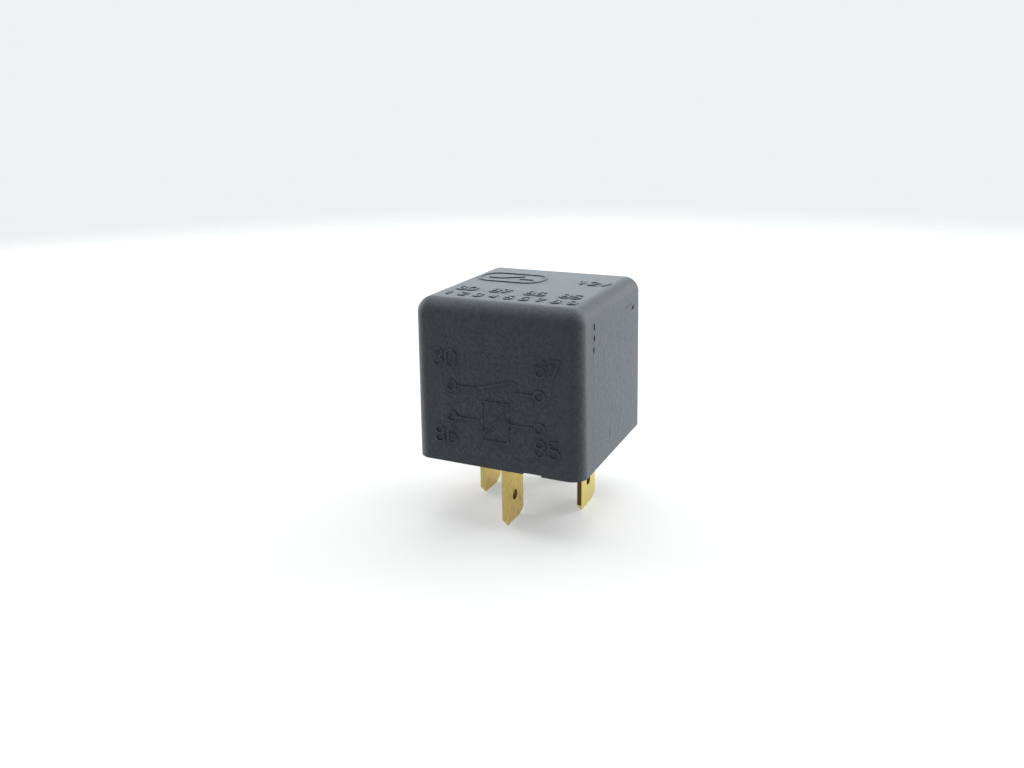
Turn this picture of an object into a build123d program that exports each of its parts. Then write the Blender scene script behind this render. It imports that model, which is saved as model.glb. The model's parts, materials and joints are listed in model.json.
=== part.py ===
from build123d import *
import os
from math import cos, radians, sin, tan

os.makedirs("parts", exist_ok=True)

# A plug-in relay that stands on its tabs. The origin is under its middle, in the plane
# of the tab tips. X runs along the front, Y to the back and Z up. Lengths are millimetres.

# Flat tabs
tab_length = 11.1
tab_width = 6.3
tab_thickness = 0.8
tab_corner_width = 1.0
tab_corner_height = 1.2
tab_bevel_depth = 0.25
tab_bevel_height = 1.0
tab_hole_diameter = 1.6
tab_hole_height = 4.5

# Places of the tabs: 30 in front, 87 behind, 86 and 85 at the sides
row_middle_y = 0.2
row_spacing = 17.4
coil_tab_spacing = 17.7
coil_tab_setback = 9.7

# Cover
cover_width = 28.0
cover_depth = 28.6
cover_height = 25.6
cover_wall = 1.2
cover_roof = 1.4
cover_corner_radius = 2.4
cover_edge_radius = 2.4
draft_angle = 1.15
least_round = 0.3

# Raised panel on each side of the cover, with a gently sloping edge
panel_side_margin = 4.8
panel_foot_margin = 1.6
panel_head_margin = 3.8
panel_corner_radius = 0.8
panel_rise = 0.05
panel_edge_lean = 80.0

# Rim of the cover: a shallow notch and a trace of flash in front
rim_notch_x = 6.0
rim_notch_width = 3.0
rim_notch_depth = 0.25
flash_x = 11.15
flash_width = 0.4
flash_drop = 0.15

# Chips in the right wall: across, up from the rim, width, height
chip_depth = 0.35
chips = [(-8.8, 22.3, 0.4, 1.1), (-8.95, 20.65, 0.4, 1.0), (-9.1, 18.95, 0.35, 0.8), (9.1, 21.2, 0.9, 0.5)]

# Raised marks on the front and on the top
mark_sink = 0.2
front_pen = 0.28
front_mark_rise = 0.2
front_digit_height = 2.6
top_pen = 0.34
top_mark_rise = 0.16

# Base plate and its latches
base_thickness = 3.0
base_fit = 0.05
slot_fit = 0.05
latch_length = 8.0
latch_height = 1.2
latch_lift = 0.9
latch_depth = 0.35
latch_fit = 0.1
pad_size = 3.0
fold_relief = 0.4

# Magnet: yoke, core and coil
yoke_thickness = 1.6
yoke_width = 13.0
yoke_bend_radius = 1.2
yoke_front_gap = 1.5
foot_overhang = 0.2
core_radius = 3.0
core_stub_radius = 2.2
press_clearance = 0.02
pole_radius = 4.5
pole_thickness = 1.2
bobbin_width = 14.4
bobbin_depth = 13.4
bobbin_height = 12.0
bobbin_flange = 1.0
bobbin_wall = 0.75
bobbin_corner_radius = 1.5
bobbin_gap = 0.5
core_clearance = 0.05
winding_radius = 6.3
wire_radius = 0.15
wire_clearance = 0.03
start_lead_rise = 0.4
end_lead_rise = 0.9

# Armature, drawn open; it closes by turning down to level
open_angle = 4.0
hinge_clearance = 0.05
hinge_setback = 0.25
residual_gap = 0.15
armature_thickness = 1.4
armature_width = 12.0
armature_overhang = 0.35
armature_nose = 0.5

# Contact spring
spring_thickness = 0.25
spring_width = 8.0
spring_tip_width = 5.0
spring_tip_reach = 2.2
spring_bend_radius = 0.6
spring_leg_length = 10.0

# Contacts
contact_setback = 1.8
fixed_contact_radius = 1.8
fixed_contact_height = 0.7
moving_contact_radius = 1.7
moving_contact_height = 0.9
contact_edge_radius = 0.25
contact_shank_radius = 0.7
contact_tail_radius = 1.2
contact_tail_height = 0.4
closed_contact_gap = 0.03

# Rivets
rivet_radius = 0.8
rivet_head_radius = 1.4
rivet_head_height = 0.5
rivet_edge_radius = 0.2
rivet_spacing = 5.0
armature_rivet_reach = 4.2
yoke_rivet_drop = 7.5

# Upper ends of the terminals
shoulder_width = 7.9
shoulder_height = 1.4
post_width = 2.4
post_height = 6.6
link_x = 9.4
link_width = 3.0
link_height = 7.6
strip_bend_radius = 0.6
shelf_width = 5.0
shelf_lip = 0.1

# Stop bracket
stop_thickness = 0.6
stop_width = 5.0
stop_setback = 1.95
stop_slot_depth = 1.8
stop_gap = 0.1
stop_overlap = 1.0

# Copper braid from terminal 30 to the spring
braid_radius = 0.6
braid_reach = 15.0
braid_weld = 4.0
braid_shoulder_setback = 2.4
braid_crown_inset = 1.2
braid_crown_setback = 1.5
braid_crown_drop = 0.6
bend_share = 0.45

# Heights
rim_z = tab_length
top_z = rim_z + cover_height
base_top = rim_z + base_thickness
foot_bottom = base_top + tab_thickness
foot_top = foot_bottom + yoke_thickness
bobbin_top = foot_top + bobbin_height
pole_top = bobbin_top + pole_thickness
hinge_z = pole_top + residual_gap
yoke_top = hinge_z - hinge_clearance

# Depths
cavity_width = cover_width - 2 * cover_wall
cavity_depth = cover_depth - 2 * cover_wall
cavity_corner_radius = max(cover_corner_radius - cover_wall, least_round)
terminal_30_y = row_middle_y - row_spacing / 2
terminal_87_y = row_middle_y + row_spacing / 2
coil_tab_y = terminal_30_y + coil_tab_setback
yoke_front = -cavity_depth / 2 + yoke_front_gap
yoke_inside = yoke_front + yoke_thickness
coil_y = yoke_inside + bobbin_gap + bobbin_depth / 2
hinge_y = yoke_front + hinge_setback
contact_y = terminal_87_y - contact_setback
stop_y = terminal_87_y + stop_setback

# The armature's own plane: its underside, from the hinge line to the back, as drawn open
tilt = radians(open_angle)
arm_plane = Plane(origin=(0, hinge_y, hinge_z), x_dir=(1, 0, 0), z_dir=(0, -sin(tilt), cos(tilt)))
armature_length = coil_y + pole_radius + armature_overhang - hinge_y
contact_reach = contact_y - hinge_y


def on_arm(x, reach, lift):
    """A point at a reach behind the hinge and a lift above the armature's underside."""
    return arm_plane.from_local_coords(Vector(x, reach, lift))


# Outer planes of the cover's four drafted walls, each with the wall's length
lean = radians(draft_angle)
front_wall = Plane((0, -cover_depth / 2, rim_z), (1, 0, 0), (0, -cos(lean), sin(lean)))
back_wall = Plane((0, cover_depth / 2, rim_z), (-1, 0, 0), (0, cos(lean), sin(lean)))
right_wall = Plane((cover_width / 2, 0, rim_z), (0, 1, 0), (cos(lean), 0, sin(lean)))
left_wall = Plane((-cover_width / 2, 0, rim_z), (0, -1, 0), (-cos(lean), 0, sin(lean)))
walls = [(front_wall, cover_width), (back_wall, cover_width)]
walls += [(right_wall, cover_depth), (left_wall, cover_depth)]

# Single-line digits in a box 0.6 wide and 1 high, each a list of lines. A sharp corner is where
# one line ends and the next begins, because a corner within a line would grow a long point
digit_width = 0.6
digit_pitch = 0.84
ring = [(0.18, 0), (0.42, 0), (0.6, 0.18), (0.6, 0.82), (0.42, 1), (0.18, 1), (0, 0.82), (0, 0.18), (0.18, 0)]
six_line = [(0.54, 0.92), (0.42, 1), (0.18, 1), (0, 0.82), (0, 0.18), (0.18, 0), (0.42, 0), (0.6, 0.18)]
six_line += [(0.6, 0.38), (0.42, 0.56), (0.14, 0.56)]
five_line = [(0.56, 1), (0.06, 1), (0.03, 0.56), (0.42, 0.56), (0.6, 0.38), (0.6, 0.18), (0.42, 0), (0.18, 0)]
five_line += [(0.02, 0.14)]
three_top = [(0.02, 0.86), (0.18, 1), (0.42, 1), (0.6, 0.84), (0.6, 0.68), (0.42, 0.52), (0.2, 0.52)]
three_foot = [(0.42, 0.52), (0.6, 0.36), (0.6, 0.17), (0.42, 0), (0.18, 0), (0.02, 0.14)]
eight_top = [(0.18, 0.52), (0.42, 0.52), (0.57, 0.66), (0.57, 0.86), (0.42, 1), (0.18, 1), (0.03, 0.86)]
eight_top += [(0.03, 0.66), (0.18, 0.52)]
eight_foot = [(0.18, 0), (0.42, 0), (0.6, 0.15), (0.6, 0.37), (0.42, 0.52), (0.18, 0.52), (0, 0.37)]
eight_foot += [(0, 0.15), (0.18, 0)]
glyphs = {
    "0": [ring],
    "1": [[(0.08, 0.76), (0.34, 1)], [(0.34, 1), (0.34, 0)]],
    "2": [[(0.02, 0.84), (0.18, 1), (0.42, 1), (0.6, 0.82), (0.6, 0.62), (0.04, 0)], [(0.02, 0), (0.62, 0)]],
    "3": [three_top, three_foot],
    "4": [[(0.44, 0), (0.44, 1)], [(0.44, 0.98), (0, 0.3)], [(0, 0.3), (0.6, 0.3)]],
    "5": [five_line],
    "6": [six_line],
    "7": [[(0, 1), (0.6, 1)], [(0.56, 1), (0.2, 0)]],
    "8": [eight_top, eight_foot],
    "9": [[(0.6 - x, 1 - y) for x, y in six_line]],
    "V": [[(0, 1), (0.3, 0)], [(0.3, 0), (0.6, 1)]],
}


def written(text, height, left, foot):
    """The lines of a short text of a given height whose lower left corner is given."""
    lines = []
    for place, letter in enumerate(text):
        start = left + place * digit_pitch * height
        lines += [[(start + height * x, foot + height * y) for x, y in line] for line in glyphs[letter]]
    return lines


def written_about(text, height, middle, foot):
    """The same, set about a middle line."""
    width = ((len(text) - 1) * digit_pitch + digit_width) * height
    return written(text, height, middle - width / 2, foot)


# Front drawing, from the middle of the front and up from the rim: a make contact above a coil
contact_row = 12.6
coil_row = 7.6
terminal_column = 7.25
ring_radius = 0.8
line_start = terminal_column - ring_radius
lever_foot = 3.2
lever_rise = 1.7
coil_half_width = 2.15
coil_foot = 4.5
coil_head = 10.7
number_column = 8.4
upper_number_foot = 15.5
lower_number_foot = 3.2
front_lines = [
    [(-line_start, contact_row), (-lever_foot, contact_row), (lever_foot, contact_row + lever_rise)],
    [(lever_foot, contact_row), (line_start, contact_row)],
    [(-line_start, coil_row), (-coil_half_width, coil_row)],
    [(coil_half_width, coil_row), (line_start, coil_row)],
    [(-coil_half_width, coil_row - coil_half_width), (coil_half_width, coil_row + coil_half_width)],
]
front_lines += written_about("30", front_digit_height, -number_column, upper_number_foot)
front_lines += written_about("87", front_digit_height, number_column, upper_number_foot)
front_lines += written_about("86", front_digit_height, -number_column, lower_number_foot)
front_lines += written_about("85", front_digit_height, number_column, lower_number_foot)
front_rings = [(x, y) for x in (-terminal_column, terminal_column) for y in (contact_row, coil_row)]

# Top marks: a framed switch sign, the voltage, the tab numbers and a plain row of digits
frame_x = -5.25
frame_y = 4.05
frame_width = 11.4
frame_depth = 6.6
frame_radius = 2.8
sign_half = 3.9
sign_lever_foot = 1.6
sign_lever_rise = 1.9
sign_drop = 0.6
sign_y = frame_y - sign_drop
voltage_height = 2.2
voltage_left = 6.2
voltage_foot = 3.0
tab_row_height = 2.1
tab_row_left = -9.95
tab_row_pitch = 5.75
tab_row_foot = -6.7
digit_row_height = 1.8
digit_row_left = -10.25
digit_row_pitch = 2.52
digit_row_foot = -10.25
top_lines = [
    [
        (frame_x - sign_half, sign_y),
        (frame_x - sign_lever_foot, sign_y),
        (frame_x + sign_lever_foot, sign_y + sign_lever_rise),
    ],
    [(frame_x + sign_lever_foot, sign_y), (frame_x + sign_half, sign_y)],
]
top_lines += written("12V", voltage_height, voltage_left, voltage_foot)
for place, number in enumerate(["30", "87", "86", "85"]):
    top_lines += written(number, tab_row_height, tab_row_left + place * tab_row_pitch, tab_row_foot)
for place, digit in enumerate("123456789"):
    top_lines += written(digit, digit_row_height, digit_row_left + place * digit_row_pitch, digit_row_foot)

with BuildSketch(front_wall.offset(-mark_sink)) as front_marks:
    with Locations(*front_rings):
        Circle(ring_radius + front_pen / 2)
        Circle(ring_radius - front_pen / 2, mode=Mode.SUBTRACT)
    with Locations((0, (coil_foot + coil_head) / 2)):
        Rectangle(2 * coil_half_width + front_pen, coil_head - coil_foot + front_pen)
        Rectangle(2 * coil_half_width - front_pen, coil_head - coil_foot - front_pen, mode=Mode.SUBTRACT)
    for front_line in front_lines:
        with BuildLine():
            Polyline(*front_line)
        trace(line_width=front_pen)

with BuildSketch(Plane.XY.offset(top_z - mark_sink)) as top_marks:
    with Locations((frame_x, frame_y)):
        RectangleRounded(frame_width, frame_depth, frame_radius)
        RectangleRounded(
            frame_width - 2 * top_pen, frame_depth - 2 * top_pen, frame_radius - top_pen, mode=Mode.SUBTRACT
        )
    for top_line in top_lines:
        with BuildLine():
            Polyline(*top_line)
        trace(line_width=top_pen)

# Cover: one thin moulding, narrower towards its roof, open below
panel_height = cover_height - panel_foot_margin - panel_head_margin
with BuildPart() as cover:
    with BuildSketch(Plane.XY.offset(rim_z)):
        RectangleRounded(cover_width, cover_depth, cover_corner_radius)
    extrude(amount=cover_height, taper=draft_angle)
    fillet(cover.faces().sort_by(Axis.Z)[-1].edges(), cover_edge_radius)
    for wall, wall_length in walls:
        with BuildSketch(wall):
            with Locations((0, panel_foot_margin + panel_height / 2)):
                RectangleRounded(wall_length - 2 * panel_side_margin, panel_height, panel_corner_radius)
        extrude(amount=panel_rise, taper=panel_edge_lean)
    with BuildSketch(Plane.XY.offset(rim_z)):
        RectangleRounded(cavity_width, cavity_depth, cavity_corner_radius)
    extrude(amount=cover_height - cover_roof, taper=draft_angle, mode=Mode.SUBTRACT)
    roof_inside = cover.faces().filter_by(Axis.Z).sort_by(Axis.Z)[-2]
    fillet(roof_inside.edges(), max(cover_edge_radius - cover_wall, least_round))
    with BuildSketch(right_wall.offset(panel_rise)):
        for chip_y, chip_z, chip_width, chip_height in chips:
            with Locations((chip_y, chip_z)):
                Ellipse(chip_width / 2, chip_height / 2)
    extrude(amount=-chip_depth - panel_rise, mode=Mode.SUBTRACT)
    extrude(front_marks.sketch, amount=mark_sink + front_mark_rise)
    extrude(top_marks.sketch, amount=mark_sink + top_mark_rise)
    with BuildSketch(Plane.XY.offset(rim_z)):
        with Locations((rim_notch_x, -cover_depth / 2)):
            Rectangle(rim_notch_width, 2 * cover_wall)
    extrude(amount=rim_notch_depth, mode=Mode.SUBTRACT)
    with BuildSketch(Plane.XY.offset(rim_z)):
        with Locations((flash_x, -cover_depth / 2 + cover_wall / 2)):
            Rectangle(flash_width, cover_wall / 2)
    extrude(amount=-flash_drop)
    with BuildSketch(Plane.XY.offset(rim_z + latch_lift - latch_fit)):
        with Locations((0, -cavity_depth / 2), (0, cavity_depth / 2)):
            Rectangle(latch_length + 2 * latch_fit, 2 * (latch_depth + latch_fit))
    extrude(amount=latch_height + 2 * latch_fit, mode=Mode.SUBTRACT)

# Base: the plate in the cover's mouth, with a slot for each tab and pads under the yoke
pad_places = [(-yoke_width / 4, terminal_30_y), (-yoke_width / 4, coil_y + pole_radius)]
pad_places += [(yoke_width / 4, coil_y + pole_radius)]
coil_tab_places = [(-coil_tab_spacing / 2, coil_tab_y), (coil_tab_spacing / 2, coil_tab_y)]
with BuildPart() as base:
    with BuildSketch(Plane.XY.offset(rim_z)):
        RectangleRounded(
            cavity_width - 2 * base_fit, cavity_depth - 2 * base_fit, cavity_corner_radius - base_fit
        )
    extrude(amount=base_thickness, taper=draft_angle)
    with BuildSketch(Plane.XY.offset(rim_z + latch_lift)):
        latch_middle = cavity_depth / 2 - latch_depth
        with Locations((0, -latch_middle), (0, latch_middle)):
            Rectangle(latch_length, 4 * latch_depth)
    extrude(amount=latch_height)
    with BuildSketch(Plane.XY.offset(base_top)):
        with Locations(*pad_places):
            Rectangle(pad_size, pad_size)
    extrude(amount=foot_bottom - base_top)
    with BuildSketch(Plane.XY.offset(rim_z)):
        with Locations((0, terminal_30_y), *coil_tab_places):
            Rectangle(tab_thickness + 2 * slot_fit, tab_width + 2 * slot_fit)
        with Locations((0, terminal_87_y)):
            Rectangle(tab_width + 2 * slot_fit, tab_thickness + 2 * slot_fit)
    extrude(amount=base_thickness, mode=Mode.SUBTRACT)
    with BuildSketch(Plane.XY.offset(base_top)):
        with Locations((tab_thickness / 2, terminal_30_y)):
            Rectangle(2 * fold_relief, tab_width + 2 * slot_fit)
    extrude(amount=-fold_relief, mode=Mode.SUBTRACT)
    with BuildSketch(Plane.XY.offset(base_top)):
        with Locations((0, stop_y)):
            Rectangle(stop_width + 2 * slot_fit, stop_thickness + 2 * slot_fit)
    extrude(amount=-stop_slot_depth, mode=Mode.SUBTRACT)


def make_blade(blade_plane):
    """A flat tab up to the base's top. The plane's origin is the middle of the tab's tip."""
    side_plane = Plane(blade_plane.origin, blade_plane.z_dir, -blade_plane.x_dir)
    half_width = tab_width / 2
    half_thickness = tab_thickness / 2
    with BuildPart() as blade:
        with BuildSketch(blade_plane):
            with BuildLine():
                Polyline(
                    (-half_width + tab_corner_width, 0),
                    (half_width - tab_corner_width, 0),
                    (half_width, tab_corner_height),
                    (half_width, base_top),
                    (-half_width, base_top),
                    (-half_width, tab_corner_height),
                    close=True,
                )
            make_face()
            with Locations((0, tab_hole_height)):
                Circle(tab_hole_diameter / 2, mode=Mode.SUBTRACT)
        extrude(amount=half_thickness, both=True)
        with BuildSketch(side_plane):
            with BuildLine():
                Polyline(
                    (-half_thickness + tab_bevel_depth, 0),
                    (half_thickness - tab_bevel_depth, 0),
                    (half_thickness, tab_bevel_height),
                    (half_thickness, base_top),
                    (-half_thickness, base_top),
                    (-half_thickness, tab_bevel_height),
                    close=True,
                )
            make_face()
        extrude(amount=half_width, both=True, mode=Mode.INTERSECT)
    return blade.part


def bend_radii(route):
    """As large a radius at each corner of a route as its two runs allow."""
    points = [Vector(*point) for point in route]
    radii = []
    for before, corner, after in zip(points, points[1:], points[2:]):
        run_in = corner - before
        run_out = after - corner
        half_turn = radians(run_in.get_angle(run_out)) / 2
        radii.append(bend_share * min(run_in.length, run_out.length) / tan(half_turn))
    return radii


# Terminals 85 and 86: straight strips with a shoulder on the base and a post for the wire
for tab_name, tab_x in (("terminal_85", coil_tab_spacing / 2), ("terminal_86", -coil_tab_spacing / 2)):
    coil_tab_plane = Plane((tab_x, coil_tab_y, 0), (0, 1, 0), (1, 0, 0))
    coil_blade = make_blade(coil_tab_plane)
    with BuildPart() as coil_tab:
        add(coil_blade)
        with BuildSketch(coil_tab_plane):
            with Locations((0, base_top + shoulder_height / 2)):
                Rectangle(shoulder_width, shoulder_height)
            with Locations((0, base_top + post_height / 2)):
                Rectangle(post_width, post_height)
        extrude(amount=tab_thickness / 2, both=True)
    coil_tab.part.label = tab_name
    export_step(coil_tab.part, f"parts/{tab_name}.step")

# Terminal 30: folded flat under the yoke's foot, then up again beside the coil for the braid
link_top = base_top + link_height
flange_middle = base_top + tab_thickness / 2
blade_30 = make_blade(Plane((0, terminal_30_y, 0), (0, 1, 0), (1, 0, 0)))
with BuildPart() as terminal_30:
    add(blade_30)
    with BuildSketch(Plane.XZ.offset(-terminal_30_y)):
        with BuildLine():
            FilletPolyline(
                (0, rim_z),
                (0, flange_middle),
                (link_x, flange_middle),
                (link_x, link_top),
                radius=strip_bend_radius,
            )
        trace(line_width=tab_thickness)
    extrude(amount=tab_width / 2, both=True)
    with BuildSketch(Plane.XY.offset(foot_bottom + strip_bend_radius)):
        side_cut = (tab_width - link_width) / 2
        cut_middle = (tab_width - side_cut) / 2
        with Locations((link_x, terminal_30_y - cut_middle), (link_x, terminal_30_y + cut_middle)):
            Rectangle(2 * tab_thickness, side_cut)
    extrude(amount=link_height, mode=Mode.SUBTRACT)

# Terminal 87: rises behind the coil and folds forward into a shelf for the fixed contact
moving_contact_foot = hinge_z + armature_thickness - moving_contact_height
shelf_top = moving_contact_foot - closed_contact_gap - fixed_contact_height
shelf_middle = shelf_top - tab_thickness / 2
blade_87 = make_blade(Plane((0, terminal_87_y, 0), (1, 0, 0), (0, -1, 0)))
with BuildPart() as terminal_87:
    add(blade_87)
    with BuildSketch(Plane.XZ.offset(-terminal_87_y)):
        with Locations((0, base_top + shoulder_height / 2)):
            Rectangle(shoulder_width, shoulder_height)
    extrude(amount=tab_thickness / 2, both=True)
    with BuildSketch(Plane.YZ):
        with BuildLine():
            FilletPolyline(
                (terminal_87_y, base_top),
                (terminal_87_y, shelf_middle),
                (contact_y - fixed_contact_radius - shelf_lip, shelf_middle),
                radius=strip_bend_radius,
            )
        trace(line_width=tab_thickness)
    extrude(amount=shelf_width / 2, both=True)
    with BuildSketch(Plane.XY.offset(shelf_top)):
        with Locations((0, contact_y)):
            Circle(contact_shank_radius + press_clearance)
    extrude(amount=-tab_thickness, mode=Mode.SUBTRACT)

# Yoke: a bent bar with its foot on terminal 30 and its leg in front of the coil
leg_middle = yoke_front + yoke_thickness / 2
foot_middle = foot_bottom + yoke_thickness / 2
foot_end = coil_y + pole_radius + pad_size / 2 + foot_overhang
yoke_rivet_z = yoke_top - yoke_rivet_drop
rivet_places = [(-rivet_spacing / 2, 0), (rivet_spacing / 2, 0)]
with BuildPart() as yoke:
    with BuildSketch(Plane.YZ):
        with BuildLine():
            FilletPolyline(
                (foot_end, foot_middle),
                (leg_middle, foot_middle),
                (leg_middle, yoke_top),
                radius=yoke_bend_radius,
            )
        trace(line_width=yoke_thickness)
    extrude(amount=yoke_width / 2, both=True)
    with BuildSketch(Plane.XY.offset(foot_bottom)):
        with Locations((0, coil_y)):
            Circle(core_stub_radius + press_clearance)
    extrude(amount=yoke_thickness, mode=Mode.SUBTRACT)
    with BuildSketch(Plane((0, yoke_front, yoke_rivet_z), (1, 0, 0), (0, -1, 0))):
        with Locations(*rivet_places):
            Circle(rivet_radius + press_clearance)
    extrude(amount=-yoke_thickness, mode=Mode.SUBTRACT)

# Core: a turned pole, its stub riveted in the yoke's foot
with BuildPart() as core:
    with BuildSketch(Plane.XY.offset(foot_bottom)):
        with Locations((0, coil_y)):
            Circle(core_stub_radius)
    extrude(amount=yoke_thickness)
    with BuildSketch(Plane.XY.offset(foot_top)):
        with Locations((0, coil_y)):
            Circle(core_radius)
    extrude(amount=bobbin_height)
    with BuildSketch(Plane.XY.offset(bobbin_top)):
        with Locations((0, coil_y)):
            Circle(pole_radius)
    extrude(amount=pole_thickness)

# Bobbin: a spool between the yoke's foot and the pole face
spool_radius = core_radius + core_clearance + bobbin_wall
with BuildPart() as bobbin:
    for flange_z in (foot_top, bobbin_top - bobbin_flange):
        with BuildSketch(Plane.XY.offset(flange_z)):
            with Locations((0, coil_y)):
                RectangleRounded(bobbin_width, bobbin_depth, bobbin_corner_radius)
        extrude(amount=bobbin_flange)
    with BuildSketch(Plane.XY.offset(foot_top)):
        with Locations((0, coil_y)):
            Circle(spool_radius)
    extrude(amount=bobbin_height)
    with BuildSketch(Plane.XY.offset(foot_top)):
        with Locations((0, coil_y)):
            Circle(core_radius + core_clearance)
    extrude(amount=bobbin_height, mode=Mode.SUBTRACT)

# Winding: fine enamelled wire that fills the spool
winding_foot = foot_top + bobbin_flange
with BuildPart() as coil_winding:
    with BuildSketch(Plane.XY.offset(winding_foot)):
        with Locations((0, coil_y)):
            Circle(winding_radius)
            Circle(spool_radius, mode=Mode.SUBTRACT)
    extrude(amount=bobbin_height - 2 * bobbin_flange)

# Leads: from the winding's side, in a slack bend, onto the inner face of each coil terminal's post
post_inside = coil_tab_spacing / 2 - tab_thickness / 2 - wire_radius - wire_clearance
post_top = base_top + post_height
for lead_name, side, lead_rise in (
    ("coil_lead_start", -1, start_lead_rise),
    ("coil_lead_end", 1, end_lead_rise),
):
    lead_route = [
        (side * (winding_radius + wire_clearance), coil_y, winding_foot + lead_rise),
        (side * (winding_radius + post_inside) / 2, coil_y, winding_foot + lead_rise),
        (side * post_inside, coil_y + post_inside - winding_radius, post_top - 2 * lead_rise),
        (side * post_inside, coil_tab_y + post_width / 2, post_top - lead_rise),
    ]
    with BuildPart() as coil_lead:
        with BuildLine() as lead_line:
            FilletPolyline(*lead_route, radius=bend_radii(lead_route))
        with BuildSketch(Plane(lead_line.line @ 0, z_dir=lead_line.line % 0)):
            Circle(wire_radius)
        sweep()
    coil_lead.part.label = lead_name
    export_step(coil_lead.part, f"parts/{lead_name}.step")

# Armature: an iron plate with a rounded nose at the hinge
with BuildPart() as armature:
    with BuildSketch(arm_plane):
        with Locations((0, armature_length / 2)):
            Rectangle(armature_width, armature_length)
    extrude(amount=armature_thickness)
    chamfer(armature.faces().sort_by(Axis.Y)[0].edges().sort_by(Axis.Z)[-1], armature_nose)
    with BuildSketch(arm_plane):
        with Locations((-rivet_spacing / 2, armature_rivet_reach), (rivet_spacing / 2, armature_rivet_reach)):
            Circle(rivet_radius + press_clearance)
    extrude(amount=armature_thickness, mode=Mode.SUBTRACT)

# Contact spring: a leaf from the yoke's front, over the hinge and along the armature to the contact
spring_lift = armature_thickness + spring_thickness / 2
leg_y = yoke_front - spring_thickness / 2
bend_reach = (leg_y - hinge_y + spring_lift * sin(tilt)) / cos(tilt)
bend_point = on_arm(0, bend_reach, spring_lift)
spring_end = contact_reach + spring_tip_reach
end_point = on_arm(0, spring_end, spring_lift)
tip_start = armature_length + spring_thickness
with BuildPart() as contact_spring:
    with BuildSketch(Plane.YZ):
        with BuildLine():
            FilletPolyline(
                (leg_y, yoke_top - spring_leg_length),
                (leg_y, bend_point.Z),
                (end_point.Y, end_point.Z),
                radius=spring_bend_radius,
            )
        trace(line_width=spring_thickness)
    extrude(amount=spring_width / 2, both=True)
    with BuildSketch(arm_plane):
        narrowing = (spring_width - spring_tip_width) / 2
        for side in (-1, 1):
            with Locations((side * (spring_width - narrowing) / 2, (tip_start + spring_end) / 2)):
                Rectangle(narrowing, spring_end - tip_start + spring_thickness)
    extrude(amount=2 * armature_thickness, mode=Mode.SUBTRACT)
    with BuildSketch(arm_plane):
        with Locations((-rivet_spacing / 2, armature_rivet_reach), (rivet_spacing / 2, armature_rivet_reach)):
            Circle(rivet_radius + press_clearance)
        with Locations((0, contact_reach)):
            Circle(contact_shank_radius + press_clearance)
    extrude(amount=2 * armature_thickness, mode=Mode.SUBTRACT)
    with BuildSketch(Plane((0, yoke_front, yoke_rivet_z), (1, 0, 0), (0, -1, 0))):
        with Locations(*rivet_places):
            Circle(rivet_radius + press_clearance)
    extrude(amount=spring_thickness, mode=Mode.SUBTRACT)

# Rivets: round heads on the spring, shanks flush with the far side
spring_top = armature_thickness + spring_thickness
with BuildPart() as armature_rivets:
    with BuildSketch(arm_plane):
        with Locations((-rivet_spacing / 2, armature_rivet_reach), (rivet_spacing / 2, armature_rivet_reach)):
            Circle(rivet_radius)
    extrude(amount=spring_top)
    with BuildSketch(arm_plane.offset(spring_top)):
        with Locations((-rivet_spacing / 2, armature_rivet_reach), (rivet_spacing / 2, armature_rivet_reach)):
            Circle(rivet_head_radius)
    extrude(amount=rivet_head_height)
    fillet(armature_rivets.edges().group_by(Axis.Z)[-1], rivet_edge_radius)

rivet_plane = Plane((0, yoke_inside, yoke_rivet_z), (1, 0, 0), (0, -1, 0))
with BuildPart() as yoke_rivets:
    with BuildSketch(rivet_plane):
        with Locations(*rivet_places):
            Circle(rivet_radius)
    extrude(amount=yoke_thickness + spring_thickness)
    with BuildSketch(rivet_plane.offset(yoke_thickness + spring_thickness)):
        with Locations(*rivet_places):
            Circle(rivet_head_radius)
    extrude(amount=rivet_head_height)
    fillet(yoke_rivets.edges().group_by(Axis.Y)[0], rivet_edge_radius)

# Contact buttons: the moving one riveted in the spring, the fixed one in the shelf
with BuildPart() as moving_contact:
    with BuildSketch(arm_plane.offset(armature_thickness - moving_contact_height)):
        with Locations((0, contact_reach)):
            Circle(moving_contact_radius)
    extrude(amount=moving_contact_height)
    fillet(moving_contact.edges().sort_by(Axis.Z)[0], contact_edge_radius)
    with BuildSketch(arm_plane.offset(armature_thickness)):
        with Locations((0, contact_reach)):
            Circle(contact_shank_radius)
    extrude(amount=spring_thickness)
    with BuildSketch(arm_plane.offset(spring_top)):
        with Locations((0, contact_reach)):
            Circle(contact_tail_radius)
    extrude(amount=contact_tail_height)

with BuildPart() as fixed_contact:
    with BuildSketch(Plane.XY.offset(shelf_top)):
        with Locations((0, contact_y)):
            Circle(fixed_contact_radius)
    extrude(amount=fixed_contact_height)
    fillet(fixed_contact.edges().sort_by(Axis.Z)[-1], contact_edge_radius)
    with BuildSketch(Plane.XY.offset(shelf_top)):
        with Locations((0, contact_y)):
            Circle(contact_shank_radius)
    extrude(amount=-tab_thickness)

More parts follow.
